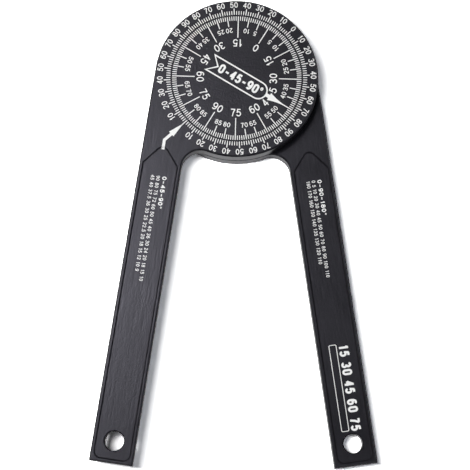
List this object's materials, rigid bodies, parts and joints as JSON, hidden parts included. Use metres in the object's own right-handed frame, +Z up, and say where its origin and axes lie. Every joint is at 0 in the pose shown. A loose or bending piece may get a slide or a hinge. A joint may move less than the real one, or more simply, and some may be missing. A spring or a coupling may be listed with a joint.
{
  "type": "miter saw protractor",
  "caption": "Flat angle finder: two bladed arms turn on one hub with a graduated ring and dial that read saw settings.",
  "frame": {"origin": "pivot axis at the lower arm's underside", "axes": "+Z up along the pivot axis, towards the dial's face; the blades point towards -Y, spread evenly about it; +X to the right, on the lower arm's side"},
  "size_m": [0.1312, 0.223, 0.0138],
  "materials": {
    "black_anodised": "satin black anodised aluminium",
    "black_anodised_dial": "satin black anodised aluminium",
    "slip_plastic": "natural nylon",
    "black_screw": "black oxide steel",
    "pin_steel": "ground steel"
  },
  "bodies": {
    "lower": {"lower_arm": "black_anodised", "dial": "black_anodised_dial", "lower_washer": "slip_plastic", "upper_washer": "slip_plastic", "dial_screw_1": "black_screw", "dial_screw_2": "black_screw", "dial_screw_3": "black_screw", "dial_screw_4": "black_screw", "dowel_pin_1": "pin_steel", "dowel_pin_2": "pin_steel"},
    "upper": {"upper_arm": "black_anodised"}
  },
  "joints": [
    {"name": "hub", "type": "hinge", "parent": "lower", "child": "upper", "pos_m": [0, 0, 0.0068], "axis": [0, 0, 1], "continuous": true}
  ]
}
